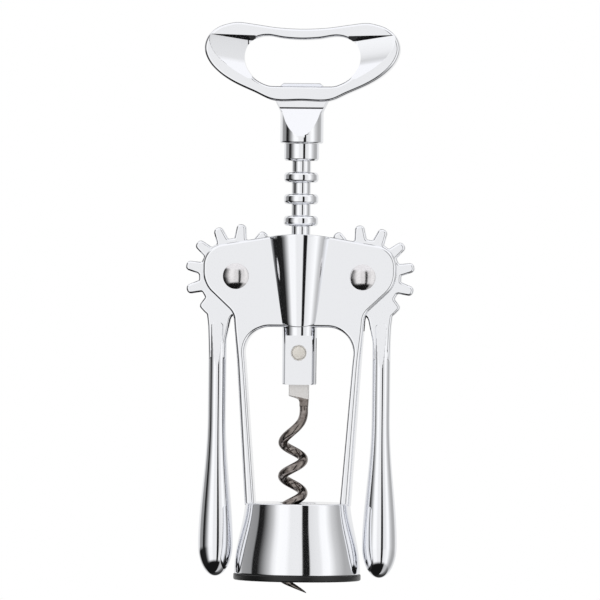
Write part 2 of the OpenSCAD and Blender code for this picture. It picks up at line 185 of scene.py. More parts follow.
def edgeSection(thick, radius, steps=6, between=1):
    # from the back face to the front face: a quarter circle inwards at both edges
    a = np.linspace(0, math.pi / 2, steps + 1)
    y = thick / 2 - radius * (1 - np.sin(a))
    low = np.stack([-y[::-1], radius * (np.cos(a[::-1]) - 1)], 1)
    middle = np.linspace(low[-1, 0], -low[-1, 0], between + 1)[1:-1]
    return np.concatenate([low, np.stack([middle, 0 * middle], 1), low[::-1] * [-1, 1]])


def cutSection(thick, radius, steps=6, past=1.0):
    # the same section for a cut: it widens by a quarter circle at both faces, and runs past them
    a = np.linspace(0, math.pi / 2, steps + 1)
    y = thick / 2 - radius + radius * np.sin(a)
    half = np.stack([y, radius * (1 - np.cos(a))], 1)
    half = np.concatenate([half, [[thick / 2 + past, radius]]])
    return np.concatenate([half[::-1] * [-1, 1], half])


def turned(name, profile, steps=128, closed=False):
    # a profile of (radius, height) turned about the z axis
    a = np.linspace(0, 2 * math.pi, steps, endpoint=False)[None]
    r, z = profile[:, 0][:, None], profile[:, 1][:, None]
    points = np.stack([r * np.cos(a), r * np.sin(a), z + 0 * a], -1)
    return meshFrom(name, points, gridFaces(len(profile), steps, closed, True))


def movePoints(obj, change):
    # every point of the mesh is moved at once by a function of the whole array, in millimetres
    mesh = obj.data
    co = np.empty(len(mesh.vertices) * 3, np.float32)
    mesh.vertices.foreach_get("co", co)
    co = change(co.reshape(-1, 3).astype(float) / mm) * mm
    mesh.vertices.foreach_set("co", co.astype(np.float32).ravel())
    mesh.update()
    return obj


def standing(points):
    # z becomes y: a piece turned about z lies along y, front end towards -y
    return np.stack([points[:, 0], -points[:, 2], points[:, 1]], 1)


def disc(name, radius, half, steps=64):
    # a cylinder along y, from -half to half
    profile = np.array([(0, -half), (radius, -half), (radius, half), (0, half)], float)
    return movePoints(turned(name, profile, steps), standing)


def prism(name, section, low, high):
    # a closed section of (y, z) points carried along x from low to high
    ends, count = np.array([[low], [high]], float), len(section)
    y, z = section[:, 0], section[:, 1]
    points = np.stack([ends + 0 * y, y + 0 * ends, z + 0 * ends], -1)
    return meshFrom(name, points, gridFaces(2, count, False, True),
                    [range(count), range(2 * count - 1, count - 1, -1)])


def combine(obj, other, how):
    # an exact Boolean of two closed meshes, kept as a plain mesh
    step = obj.modifiers.new("solid", "BOOLEAN")
    step.operation = how
    step.solver = "EXACT"
    step.object = other
    bpy.context.view_layer.update()
    done = bpy.data.meshes.new_from_object(obj.evaluated_get(bpy.context.evaluated_depsgraph_get()))
    obj.modifiers.remove(step)
    obj.data = done
    bpy.data.objects.remove(other)
    tidyMesh(obj)
    return obj


def finishPiece(obj, body, nodes, material, sharp=32):
    # smooth faces parted by sharp edges, normals weighted by face size, and the piece's place in the model
    obj.data.materials.clear()
    obj.data.materials.append(material)
    obj.data.polygons.foreach_set("material_index", np.zeros(len(obj.data.polygons), np.int32))
    obj.data.shade_smooth()
    obj.data.set_sharp_from_angle(angle=math.radians(sharp))
    weigh = obj.modifiers.new("weighted", "WEIGHTED_NORMAL")
    weigh.keep_sharp = True
    weigh.weight = 80
    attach(obj, body)
    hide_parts(*nodes)
    print("piece", obj.name, len(obj.data.vertices), "points")
    return obj


# ---- materials ----
def linear(hexColour):
    # sRGB hex to linear: (v + 0.055) / 1.055 to the power 2.4, or v / 12.92 below 0.04045
    v = np.array([int(hexColour[i:i + 2], 16) for i in (1, 3, 5)]) / 255
    return (*np.where(v > 0.04045, ((v + 0.055) / 1.055) ** 2.4, v / 12.92), 1.0)


def addNode(tree, kind, settings=None, inputs=None):
    # a node with its settings, and its sockets filled by values or by other nodes' outputs
    node = tree.nodes.new(kind)
    for key, value in (settings or {}).items():
        setattr(node, key, value)
    for key, value in (inputs or {}).items():
        if isinstance(value, bpy.types.NodeSocket):
            tree.links.new(value, node.inputs[key])
        else:
            node.inputs[key].default_value = value
    return node


def fillRamp(node, stops):
    # grey levels along a ramp from 0 to 1
    ramp = node.color_ramp
    ramp.elements[0].position, ramp.elements[1].position = stops[0][0], stops[-1][0]
    for place, _ in stops[1:-1]:
        ramp.elements.new(place)
    for element, (_, grey) in zip(ramp.elements, stops):
        element.color = (grey, grey, grey, 1) if not isinstance(grey, tuple) else grey
    return node


def newMaterial(name):
    # a material with its principled shader and Object coordinates
    material = bpy.data.materials.new(name)
    material.use_nodes = True
    tree = material.node_tree
    shader = tree.nodes["Principled BSDF"]
    place = addNode(tree, "ShaderNodeTexCoord").outputs["Object"]
    return material, tree, shader, place


def grainAt(tree, place, size, detail):
    # fractal noise whose largest grains are the given size in millimetres
    return addNode(tree, "ShaderNodeTexNoise", None, {"Vector": place, "Scale": 1 / (size * mm),
                   "Detail": detail}).outputs[0]


def relief(tree, shader, height, strength, depth):
    # the height shown as relief of a depth in millimetres
    bump = addNode(tree, "ShaderNodeBump", None, {"Height": height, "Strength": strength,
                   "Distance": depth * mm})
    tree.links.new(bump.outputs["Normal"], shader.inputs["Normal"])


def polishedChrome():
    # decorative chrome plate over a zinc casting: a near mirror, faintly blue, with soft polishing waves
    material, tree, shader, place = newMaterial("polishedChrome")
    shader.inputs["Base Color"].default_value = linear("#F4F5F8")
    shader.inputs["Metallic"].default_value = 1.0
    haze = grainAt(tree, place, 9, 4.0)
    rough = addNode(tree, "ShaderNodeMapRange", None, {"Value": haze, "From Min": 0.3, "From Max": 0.7,
                    "To Min": 0.035, "To Max": 0.075})
    tree.links.new(rough.outputs["Result"], shader.inputs["Roughness"])
    waves = grainAt(tree, place, 5, 2.0)
    relief(tree, shader, waves, 0.06, 0.05)
    return material


def satinSteel():
    # tumbled steel rivet heads: grey, softly blurred reflections and fine pits
    material, tree, shader, place = newMaterial("satinSteel")
    shader.inputs["Metallic"].default_value = 1.0
    grain = grainAt(tree, place, 0.5, 5.0)
    tint = fillRamp(addNode(tree, "ShaderNodeValToRGB", None, {"Fac": grain}),
                    [(0.3, linear("#DAD8D9")), (0.7, linear("#ECEAEB"))])
    tree.links.new(tint.outputs["Color"], shader.inputs["Base Color"])
    shader.inputs["Roughness"].default_value = 0.16
    relief(tree, shader, grain, 0.15, 0.04)
    return material


def pinSteel():
    # the riveted pin's sheared end: pale, matt and faintly speckled
    material, tree, shader, place = newMaterial("shearedPinSteel")
    shader.inputs["Metallic"].default_value = 1.0
    grain = grainAt(tree, place, 0.35, 3.0)
    tint = fillRamp(addNode(tree, "ShaderNodeValToRGB", None, {"Fac": grain}),
                    [(0.3, linear("#E6E1D8")), (0.7, linear("#FAF6EF"))])
    tree.links.new(tint.outputs["Color"], shader.inputs["Base Color"])
    shader.inputs["Roughness"].default_value = 0.5
    relief(tree, shader, grain, 0.3, 0.05)
    return material


def wormSteel():
    # hardened spring steel wire: darker and warmer than the chrome, drawn along its length
    material, tree, shader, place = newMaterial("hardenedWireSteel")
    shader.inputs["Metallic"].default_value = 1.0
    grain = grainAt(tree, place, 1.6, 4.0)
    tint = fillRamp(addNode(tree, "ShaderNodeValToRGB", None, {"Fac": grain}),
                    [(0.3, linear("#625A55")), (0.7, linear("#A39B96"))])
    tree.links.new(tint.outputs["Color"], shader.inputs["Base Color"])
    shader.inputs["Roughness"].default_value = 0.13
    relief(tree, shader, grain, 0.4, 0.06)
    return material


def tangSteel():
    # the flattened, sandblasted shank: a matt warm grey
    material, tree, shader, place = newMaterial("blastedShankSteel")
    shader.inputs["Metallic"].default_value = 1.0
    grain = grainAt(tree, place, 0.3, 3.0)
    tint = fillRamp(addNode(tree, "ShaderNodeValToRGB", None, {"Fac": grain}),
                    [(0.3, linear("#E2DFDD")), (0.7, linear("#F0EEEC"))])
    tree.links.new(tint.outputs["Color"], shader.inputs["Base Color"])
    shader.inputs["Roughness"].default_value = 0.42
    relief(tree, shader, grain, 0.3, 0.04)
    return material


def blackPlastic():
    # moulded polypropylene: black, half gloss, with a fine spark-eroded grain
    material, tree, shader, place = newMaterial("mouldedBlackPlastic")
    shader.inputs["Base Color"].default_value = linear("#0B0B0C")
    shader.inputs["IOR"].default_value = 1.49
    grain = grainAt(tree, place, 0.4, 3.0)
    rough = addNode(tree, "ShaderNodeMapRange", None, {"Value": grain, "From Min": 0.3,
                    "From Max": 0.7, "To Min": 0.3, "To Max": 0.4})
    tree.links.new(rough.outputs["Result"], shader.inputs["Roughness"])
    relief(tree, shader, grain, 0.15, 0.04)
    return material


chrome = polishedChrome()
steel = satinSteel()
wireSteel = wormSteel()
shankSteel = tangSteel()
pinFace = pinSteel()
plastic = blackPlastic()
print("materials ready")


# ---- frame: head, legs, rack guide and bell in one casting ----
head = {
    "thick": 8.8, "edge": 1.0, "windowEdge": 1.1,
    "archSlope": 0.17, "archRadius": 62.0,
    "lobe": 10.0,
    "legTop": 19.75, "legTopZ": 80.1, "legFoot": 16.05,
    "windowKnee": 17.35, "windowFoot": 13.2, "windowRound": 8.0, "windowDrop": 15.2,
    "slotThick": 4.8, "slotRadius": 16.2,
    "bendTop": 78.0, "bendFade": 14.0, "bendLeast": 8.0,
}
bell = {
    "top": 31.7, "rim": 38.0, "height": 23.2, "from": 1.9, "wall": 1.4, "plate": 2.2,
    "hole": 13.0, "power": 1.6, "shoulder": 0.8,
}
guide = {"low": 6.6, "high": 10.0, "bore": 5.3, "footRise": 0.04, "bendWide": 9.0}
headTop = frameHigh[2]
windowTop = pivotZ - head["windowDrop"]


def headOutline():
    # arch over the top, round lobes about the pivots, a flank falling at 45 degrees, then straight legs
    x = pivotX + head["lobe"]
    peak = headTop + head["archRadius"] * (1 / math.cos(math.atan(head["archSlope"])) - 1)
    lobeTop = peak - head["archSlope"] * x
    half = [(head["legFoot"], bell["height"] - 0.7, 0), (head["legTop"], head["legTopZ"], 5.0),
            (x, pivotZ - 2.4, 8.5), (x, lobeTop, head["lobe"]), (0, peak, head["archRadius"])]
    other = [(-px, pz, r) for px, pz, r in half[:-1][::-1]]
    return rounded(half + other, True, 0.4, 2.5)


def windowOutline():
    # a tall opening whose top corners are large arcs
    foot = bell["height"] - 1.6
    corners = [(head["windowFoot"], foot, 0), (head["windowKnee"], windowTop, head["windowRound"])]
    return rounded(corners + [(-x, z, r) for x, z, r in corners[::-1]], True, 0.3, 2.5)


def legBend(points):
    # below the head, each leg's sides follow the bell's round plan: x loses R - sqrt(R^2 - y^2)
    radius = np.maximum(np.abs(points[:, 0]), head["bendLeast"])
    drop = radius - np.sqrt(radius ** 2 - np.minimum(points[:, 1] ** 2, radius ** 2))
    fade = np.clip((head["bendTop"] - points[:, 2]) / head["bendFade"], 0, 1)
    points[:, 0] -= np.sign(points[:, 0]) * drop * fade * fade * (3 - 2 * fade)
    return points


def bellRadius(z, inset):
    # narrow shoulder, flaring, then nearly upright at the rim: a quarter sine to a power
    share = np.clip((bell["height"] - z) / (bell["height"] - bell["from"]), 0, 1)
    flare = (bell["rim"] - bell["top"]) / 2 * np.sin(share * math.pi / 2) ** bell["power"]
    return bell["top"] / 2 - inset + flare


def bellProfile():
    # outer curve, rounded shoulder, flat top with its hole, inner curve, rounded rim
    z = np.linspace(bell["from"] + 0.5, bell["height"] - 0.9, 30)
    outer = [(r, h, 0) for r, h in zip(bellRadius(z, 0), z)]
    inside = bell["height"] - bell["plate"]
    zIn = np.linspace(inside - 0.6, bell["from"] + 0.5, 24)
    inner = [(r, h, 0) for r, h in zip(bellRadius(zIn, bell["wall"]), zIn)]
    hole = bell["hole"] / 2
    rim = bell["from"]
    corners = ([(bellRadius(rim, bell["wall"]), rim, 0.2), (bellRadius(rim, 0), rim, 0.4)] + outer
               + [(bell["top"] / 2, bell["height"], bell["shoulder"]), (hole, bell["height"], 0.5),
                  (hole, inside, 0.3), (bellRadius(inside, bell["wall"]), inside, 0.5)] + inner)
    return rounded(corners, True, 0.15)


def guideBend(points):
    # the cone's top follows the head's arch and its foot curves up to the sides
    share = np.clip((points[:, 2] - windowTop) / (headTop - windowTop), 0, 1)
    across = np.minimum(points[:, 0] ** 2, guide["bendWide"] ** 2)
    points[:, 2] += across * (guide["footRise"] * (1 - share) - share / (2 * head["archRadius"]))
    return points


def makeFrame():
    # the head plate less its window, with the cone and the bell added, less the bore and the gears' slots
    body = plate("frameCasting", headOutline(), edgeSection(head["thick"], head["edge"], 6, 8))
    window = plate("windowCut", windowOutline(), cutSection(head["thick"], head["windowEdge"]))
    combine(body, window, "DIFFERENCE")
    movePoints(body, legBend)
    cone = rounded([(0, windowTop), (guide["low"], windowTop, 0.35), (guide["high"], headTop, 0.3),
                    (0, headTop)], False, 0.1, 1.0)
    combine(body, movePoints(turned("guideCone", cone, 160), guideBend), "UNION")
    combine(body, turned("bellShell", bellProfile(), 192, True), "UNION")
    bore = rounded([(0, windowTop - 3), (guide["bore"], windowTop - 3), (guide["bore"], headTop + 3),
                    (0, headTop + 3)], False)
    combine(body, turned("boreCut", bore, 96), "DIFFERENCE")
    for side in (-1, 1):
        slot = disc("slotCut", head["slotRadius"], head["slotThick"] / 2, 160)
        movePoints(slot, lambda p: p + [side * pivotX, 0, pivotZ])
        combine(body, slot, "DIFFERENCE")
    return finishPiece(body, "frame", ["frame"], chrome)


makeFrame()


# ---- liner: the plastic cup that sits on the bottle's neck ----
liner = {"gap": 0.05, "wall": 1.3, "flange": 1.9, "edge": 0.5, "inside": 0.005}


def makeLiner():
    # a cup that follows the bell's inside, with a flange under its rim
    top = linerHigh[2]
    z = np.linspace(liner["flange"], top, 16)
    outer = [(r, h, 0) for r, h in zip(bellRadius(z, bell["wall"] + liner["gap"]), z)]
    inner = [(r, h, 0) for r, h in zip(bellRadius(z, bell["wall"] + liner["gap"] + liner["wall"]), z)][::-1]
    rim = linerHigh[1] - liner["inside"]
    mouth = inner[-1][0]
    corners = [(mouth, 0.0, 0.4), (rim, 0.0, liner["edge"]), (rim, liner["flange"], 0.4),
               (outer[0][0] + 0.02, liner["flange"], 0)] + outer[1:] + inner[:-1]
    cup = turned("bellLiner", rounded(corners, True, 0.12), 160, True)
    return finishPiece(cup, "frame", ["bell_liner"], plastic)


makeLiner()


# ---- levers: a toothed plate on a round arm ----
lever = {
    "thick": 4.2, "edge": 0.8, "teeth": 13, "phase": 2.0, "first": -1, "last": 7,
    "tip": 15.65, "root": 11.33, "tipWidth": 2.7, "rootWidth": 3.7, "stubShort": 1.1, "gapRound": 0.5,
    "arm": 5.5, "bulb": 10.5, "bulbGap": 0.3, "bulbRise": 9.6, "taper": 39.0, "taperPower": 0.92,
    "facetTop": 11.0, "facetEnd": 27.5, "hole": 4.1,
}
# the arms hang beside the pivots, with a gap between the bulbs and the bell's rim
lever["armOffset"] = linerHigh[0] + lever["bulbGap"] + lever["bulb"] / 2 - pivotX


def armRadius(u):
    # an ellipse below the bulb's widest point; above it the width falls as (1 + cos(pi s^0.92)) / 2
    low = lever["bulb"] / 2 * np.sqrt(np.clip(1 - ((lever["bulbRise"] - u) / lever["bulbRise"]) ** 2, 0, 1))
    share = np.clip((u - lever["bulbRise"]) / lever["taper"], 0, 1)
    wave = 1 + np.cos(math.pi * share ** lever["taperPower"])
    high = lever["arm"] / 2 + (lever["bulb"] - lever["arm"]) / 4 * wave
    return np.where(u < lever["bulbRise"], low, high)


def gearOutline():
    # finger-like teeth: full-round tips and round gaps, one tooth every thirteenth of a turn
    corners = []
    pitch = 360 / lever["teeth"]
    inner = lever["armOffset"] - lever["arm"] / 2
    outer = lever["armOffset"] + lever["arm"] / 2
    for k in range(lever["last"] + 1, lever["first"] - 1, -1):
        angle = math.radians(180 - lever["phase"] - k * pitch)
        reach = lever["tip"] - (lever["stubShort"] if k > lever["last"] else 0)
        along = np.array([math.cos(angle), math.sin(angle)])
        across = np.array([-along[1], along[0]])
        tip, foot = lever["tipWidth"] / 2, lever["rootWidth"] / 2
        places = [(lever["root"], -foot, lever["gapRound"]), (reach, -tip, tip * 0.98),
                  (reach, tip, tip * 0.98),
                  (lever["root"], foot, lever["gapRound"])]
        if k > lever["last"]:
            places = places[1:]
        if k == lever["first"]:
            places = places[:3]
        corners += [(*(along * a + across * b), r) for a, b, r in places]
    start = [(outer - 0.3, -25.0, 0), (outer + 0.1, -15.0, 3.0), (outer + 0.5, -11.6, 0.6)]
    end = [(-3.6, -11.3, 1.2), (1.4, -11.7, 2.0), (inner + 0.15, -19.5, 5.0), (inner + 0.3, -25.0, 0)]
    return rounded(start + corners + end, True, 0.16, 2.0)


def makeLever(side, name, body, node):
    # the toothed plate and the turned arm in one piece, bored for the rivet and moved to its side
    plateBody = plate(name, gearOutline(), edgeSection(lever["thick"], lever["edge"], 5))
    low = leverLow[2] - pivotZ
    rise = lever["bulbRise"] * (1 - np.cos(np.linspace(0, math.pi / 2, 24)))
    taper = np.linspace(lever["bulbRise"], -low - lever["root"] - 3.4, 70)[1:]
    u = np.concatenate([rise, taper])
    top = -low - lever["root"]
    profile = np.concatenate([np.stack([armRadius(u), u], 1), [[1.6, top - 1.2], [0, top - 0.6]]])
    arm = turned("arm", profile, 96)
    movePoints(arm, lambda p: p + [lever["armOffset"], 0, low])
    # inclined cuts bring the arm's top down to the plate's thickness and run out in a point
    flat, full, middle = lever["thick"] / 2, lever["arm"] / 2 + 0.02, lever["armOffset"]
    for face in (-1, 1):
        wedge = np.array([(flat, -lever["facetTop"] + 4), (flat, -lever["facetTop"]),
                          (full, -lever["facetEnd"]), (full + 4, -lever["facetEnd"]),
                          (full + 4, -lever["facetTop"] + 4)]) * [face, 1]
        combine(arm, prism("facetCut", wedge, middle - 6, middle + 6), "DIFFERENCE")
    combine(plateBody, arm, "UNION")
    combine(plateBody, disc("pivotHole", lever["hole"] / 2, 4), "DIFFERENCE")
    movePoints(plateBody, lambda p: (p + [pivotX, 0, pivotZ]) * [side, 1, 1])
    tidyMesh(plateBody)
    return finishPiece(plateBody, body, [node], chrome)


makeLever(1, "rightLever", "right_lever", "right_lever")
makeLever(-1, "leftLever", "left_lever", "left_lever")


# ---- rivets: domed heads with a thin flat brim ----
rivet = {"head": 7.8, "height": 1.7, "brim": 0.25, "shank": 4.0}


def rivetProfile(shankEnd):
    # shank, brim and a dome that is a shallow circular arc
    r, h, base = rivet["head"] / 2, rivet["height"], head["thick"] / 2
    top = h - rivet["brim"]
    ball = (r * r + top * top) / (2 * top)
    a = np.linspace(math.asin(r / ball), 0, 20)
    dome = np.stack([ball * np.sin(a), base + h - ball * (1 - np.cos(a))], 1)
    foot = [(0, shankEnd), (rivet["shank"] / 2, shankEnd), (rivet["shank"] / 2, base), (r - 0.02, base)]
    return np.concatenate([foot, dome])


def makeRivets():
    # on each side a rivet from the front, and a cap with a short shank from behind
    for side, word in ((-1, "left"), (1, "right")):
        back = head["thick"] / 2
        for turn, kind, end in ((1, "pivot_rivet", -back), (-1, "rivet_cap", back - 0.4)):
            name = word + ("PivotRivet" if turn > 0 else "RivetCap")
            piece = turned(name, rivetProfile(end), 72)
            movePoints(piece, standing)
            movePoints(piece, lambda p: p * [1, turn, 1] + [side * pivotX, 0, pivotZ])
            tidyMesh(piece)
            finishPiece(piece, "frame", [word + "_" + kind], steel)


makeRivets()


# ---- rack: the ringed sleeve that the teeth drive ----
rack = {
    "pitch": 6.54, "rings": 7, "ring": 10.4, "thick": 3.1, "edge": 1.15, "stem": 5.8, "bore": 3.7,
    "firstGap": 3.67,
}


def makeRack():
    # rings with well-rounded shoulders, evenly spaced on a stem, and a chamfered collar on top
    stem, r = rack["stem"] / 2, rack["ring"] / 2
    corners = [(rack["bore"] / 2, rackLow[2], 0.1), (stem, rackLow[2], 0.3)]
    first = rackLow[2] + rack["firstGap"]
    for k in range(rack["rings"]):
        low = first + k * rack["pitch"] - rack["thick"] / 2
        high = low + rack["thick"]
        corners += [(stem, low, 0.25), (r, low, rack["edge"]), (r, high, rack["edge"]), (stem, high, 0.25)]
    top = rackHigh[2]
    base = first + rack["rings"] * rack["pitch"] - rack["thick"] / 2
    r = rackHigh[0]
    corners += [(stem, base, 0.25), (r - 0.55, base, 0.2), (r, base + 0.6, 0.3), (r, top, 0.15),
                (rack["bore"] / 2, top, 0.1)]
    piece = turned("ringedRack", rounded(corners, True, 0.09), 112, True)
    return finishPiece(piece, "rack", ["rack"], chrome)


makeRack()


# ---- worm holder: the block under the rack, on a core rod ----
holder = {
    "edge": 0.45, "core": 3.6, "flats": 6.7, "flatHeight": 14.8, "slot": 2.9, "slotTop": 14.1, "hole": 4.2,
}


def boxMesh(name, low, high):
    # eight corners and six sides
    low, high = np.array(low, float), np.array(high, float)
    ring = np.array([(0, 0), (1, 0), (1, 1), (0, 1)])
    points = np.array([[(*q, k) for q in ring] for k in (0, 1)], float) * (high - low) + low
    return meshFrom(name, points, gridFaces(2, 4, False, True), [range(4), (7, 6, 5, 4)])


def makeHolder():
    # a turned block with two flats, a slot for the shank and a chamfered hole for the pin
    r, low, high, e = holderHigh[0], holderLow[2], rackLow[2] - 0.1, holder["edge"]
    corners = [(0, low), (r, low, e), (r, high, e), (holder["core"] / 2, high, 0.1),
               (holder["core"] / 2, holderHigh[2], 0.2), (0, holderHigh[2])]
    block = turned("wormHolder", rounded(corners, False, 0.08, 1.5), 128)
    for face in (-1, 1):
        y = sorted((face * holder["flats"] / 2, face * 9.0))
        cut = boxMesh("flatCut", (-9, y[0], low - 1), (9, y[1], low + holder["flatHeight"]))
        combine(block, cut, "DIFFERENCE")
    half = holder["slot"] / 2
    combine(block, boxMesh("slotCut", (-9, -half, low - 1), (9, half, low + holder["slotTop"])), "DIFFERENCE")
    hole, deep = holder["hole"] / 2, holder["flats"] / 2
    cut = np.array([(0, -5), (hole + 0.3, -5), (hole + 0.3, -deep), (hole, -deep + 0.3), (hole, deep - 0.3),
                    (hole + 0.3, deep), (hole + 0.3, 5), (0, 5)], float)
    cutter = movePoints(turned("pinHole", cut, 72), standing)
    combine(block, movePoints(cutter, lambda p: p + [0, 0, pinZ]), "DIFFERENCE")
    return finishPiece(block, "spindle", ["worm_holder"], chrome)


def makePin():
    # a round pin with chamfered, barely domed ends
    r, deep = holder["hole"] / 2 - 0.03, holder["flats"] / 2 - 0.02
    half = rounded([(0, deep), (r - 0.25, deep - 0.06, 0.2), (r, deep - 0.35, 0.1), (r, 0)], False, 0.05)
    profile = np.concatenate([half[:-1] * [1, -1], half[::-1]])
    pin = movePoints(turned("wormPin", profile, 64), standing)
    movePoints(pin, lambda p: p + [0, 0, pinZ])
    return finishPiece(pin, "spindle", ["worm_pin"], pinFace)


makeHolder()
makePin()


# ---- worm: a wire helix that straightens up into a flat shank ----
worm = {
    "wire": 2.8, "outer": 9.0, "pitch": 10.1, "sides": 28, "perTurn": 64, "tang": 6.0, "tangDrop": 3.9,
    "foot": 3.7, "unwind": 10.0, "unwindPower": 1.5, "edge": 0.05, "slotTop": 14.1, "notch": 3.4,
    "flick": 1.3, "flickTurns": 0.22, "taperTurns": 0.55, "taperPower": 0.75, "point": 0.06, "slim": 0.08,
}


def makeWorm():
    # a right-handed helix: the angle grows by one turn per pitch, and over the last half turn by
    # pi (1 - (height left / length) to a power), so that it ends straight up at the shank's edge
    wireR = worm["wire"] / 2
    coilR = worm["outer"] / 2 - wireR
    wireX = worm["tang"] / 2 - wireR - worm["edge"]
    tangBottom = holderLow[2] - worm["tangDrop"]
    tip, coilTop = wormLow[2] + 0.15, tangBottom - worm["foot"]
    woundTop = coilTop - worm["unwind"]
    turns = (woundTop - tip) / worm["pitch"]
    z = np.concatenate([np.linspace(tip, woundTop, int(turns * worm["perTurn"]))[:-1],
                        np.linspace(woundTop, coilTop, worm["perTurn"])])
    left = np.clip((coilTop - z) / worm["unwind"], 0, 1)
    angle = math.pi + np.where(z < woundTop, 2 * math.pi * (z - woundTop) / worm["pitch"],
                               math.pi * (1 - left ** worm["unwindPower"]))
    share = (z - tip) / worm["pitch"]
    reach = coilR + worm["flick"] * np.clip(1 - share / worm["flickTurns"], 0, 1) ** 2
    line = np.stack([reach * np.cos(angle) - (coilR - wireX), reach * np.sin(angle), z], -1)
    out = np.stack([np.cos(angle), np.sin(angle), 0 * angle], -1)
    # three more rings carry the wire straight up into the shank
    rises = (1.3, 2.7, worm["foot"] + 0.4)
    line = np.concatenate([line, [line[-1] + [0, 0, h] for h in rises]])
    out = np.concatenate([out, out[-1:].repeat(len(rises), 0)])
    along = np.gradient(line, axis=0)
    along /= np.linalg.norm(along, axis=1)[:, None]
    side = np.cross(along, out)
    side /= np.linalg.norm(side, axis=1)[:, None]
    up = np.cross(side, along)
    point = worm["point"]
    taper = np.minimum(1, point + (1 - point) * (share / worm["taperTurns"]) ** worm["taperPower"])
    radius = wireR * taper * (1 - worm["slim"] * (1 - left))
    radius = np.concatenate([radius, radius[-1:].repeat(len(rises))])
    a = np.linspace(0, 2 * math.pi, worm["sides"], endpoint=False)[None, :, None]
    rings = line[:, None] + radius[:, None, None] * (np.cos(a) * up[:, None] + np.sin(a) * side[:, None])
    n, last = worm["sides"], (len(line) - 1) * worm["sides"]
    coil = meshFrom("wormWire", rings, gridFaces(len(line), n, False, True),
                    [range(n), range(last + n - 1, last - 1, -1)])
    half = worm["tang"] / 2
    top = holderLow[2] + worm["slotTop"] - 0.3
    # the shank's lower left corner is notched by a concave curve that runs down into the wire
    outline = [(wireX + wireR - 0.1, tangBottom - 2.6, 0), (half, tangBottom - 0.4, 1.2), (half, top - 1, 0),
               (half - 1, top, 0), (1 - half, top, 0), (-half, top - 1, 0), (-half, tangBottom + 0.5, 0.3),
               (wireX - wireR + 0.1, tangBottom - 0.5, worm["notch"]),
               (wireX - wireR + 0.1, tangBottom - 2.6, 0)]
    shank = plate("wormShank", rounded(outline, True, 0.12), edgeSection(worm["wire"], 0.3, 4))
    combine(shank, coil, "UNION")
    shank.name = "spiralWorm"
    hole = movePoints(disc("pinHole", holder["hole"] / 2, 4), lambda p: p + [0, 0, pinZ])
    combine(shank, hole, "DIFFERENCE")
    finishPiece(shank, "spindle", ["worm"], wireSteel)
    # the flat shank keeps its matt blasted finish above the wire
    shank.data.materials.append(shankSteel)
    centre = np.empty(len(shank.data.polygons) * 3, np.float32)
    shank.data.polygons.foreach_get("center", centre)
    index = (centre.reshape(-1, 3)[:, 2] / mm > tangBottom - 0.6).astype(np.int32)
    shank.data.polygons.foreach_set("material_index", index)
    return shank


makeWorm()


# ---- handle: a bow with finger scoops and an opening for caps, on a faceted neck ----
grip = {
    "thick": 7.6, "edge": 1.0, "holeEdge": 0.9, "hub": 13.0, "neck": 12.7, "flare": 8.1, "lowCut": 2.2,
    "cutIn": 4.3, "facetTop": 1.9, "scoop": 3.27, "scoopEnd": 28.2, "scoopTop": 19.7, "scoopHigh": 11.0,
    "scoopLean": 0.03, "scoopPower": 2.5, "wallSlope": 0.4, "facetIn": 0.8, "tiltGap": 1.4, "lipWide": 7.2,
    "lipHigh": 0.95, "lipLean": 0.3, "lipThick": 4.4, "opening": 17.5, "holeFloor": 4.4, "roof": 2.5,
    "inside": 0.02,
}
gripHalf = [(0, 0), (0.275, 0), (0.49, 0.11), (0.7, 0.23), (0.85, 0.355), (0.955, 0.5), (1, 0.665),
            (0.965, 0.82), (0.87, 0.93), (0.745, 0.985), (0.64, 1), (0.48, 0.975), (0.25, 0.935), (0, 0.92)]
holeHalf = [(0, 0.0), (0.2, 0.0), (0.4, 0.0), (0.6, 0.02), (0.82, 0.16), (0.97, 0.4), (1, 0.64),
            (0.93, 0.86), (0.78, 0.98), (0.58, 1.02), (0.3, 0.97), (0, 0.95)]
hubZ = handleLow[2]
neckTop = hubZ + grip["neck"]


def scoopCut(side, face):
    # a hollow of depth D (t - (v / H) ^ 2.5): t falls evenly from the opening to the grip's end and v is
    # the distance below the steep wall along its top
    # the formula runs on a little past 1, and a lid closes the cutter in front of the face
    inner, outer, past, lid = grip["opening"], grip["scoopEnd"], 1.12, 1.5
    x = np.linspace(inner - 3.5, outer + 1.5, 60)[:, None]
    t = np.minimum((outer - x) / (outer - inner), past)
    depth = grip["scoop"] * t
    high = neckTop + grip["scoopTop"] + grip["scoopLean"] * (x - inner)
    wall = np.clip(grip["wallSlope"] * depth, 0.12, None)
    v = np.concatenate([np.linspace(-0.25, 0, 3), np.linspace(0, 1, 9)[1:]])[None]
    upper = np.stack([high - wall * v, -depth * v], -1)
    w = np.linspace(0, past, 40)[None, 1:]
    rise = np.minimum(-grip["scoop"] * (t - w ** grip["scoopPower"]), lid - 0.3)
    lower = np.stack([high - wall - grip["scoopHigh"] * w, rise], -1)
    section = np.concatenate([upper, lower], 1)
    ends = np.concatenate([section[:, -1:, 0], section[:, :1, 0]], 1)
    ends = np.stack([ends, np.full(ends.shape, lid)], -1)
    section = np.concatenate([section, ends], 1)
    y = -(grip["thick"] / 2 + section[..., 1])
    points = np.stack([x * side + 0 * y, y * face, section[..., 0]], -1)
    rows, columns = points.shape[:2]
    last = (rows - 1) * columns
    return meshFrom("scoopCut", points, gridFaces(rows, columns, False, True),
                    [range(columns), range(last + columns - 1, last - 1, -1)])


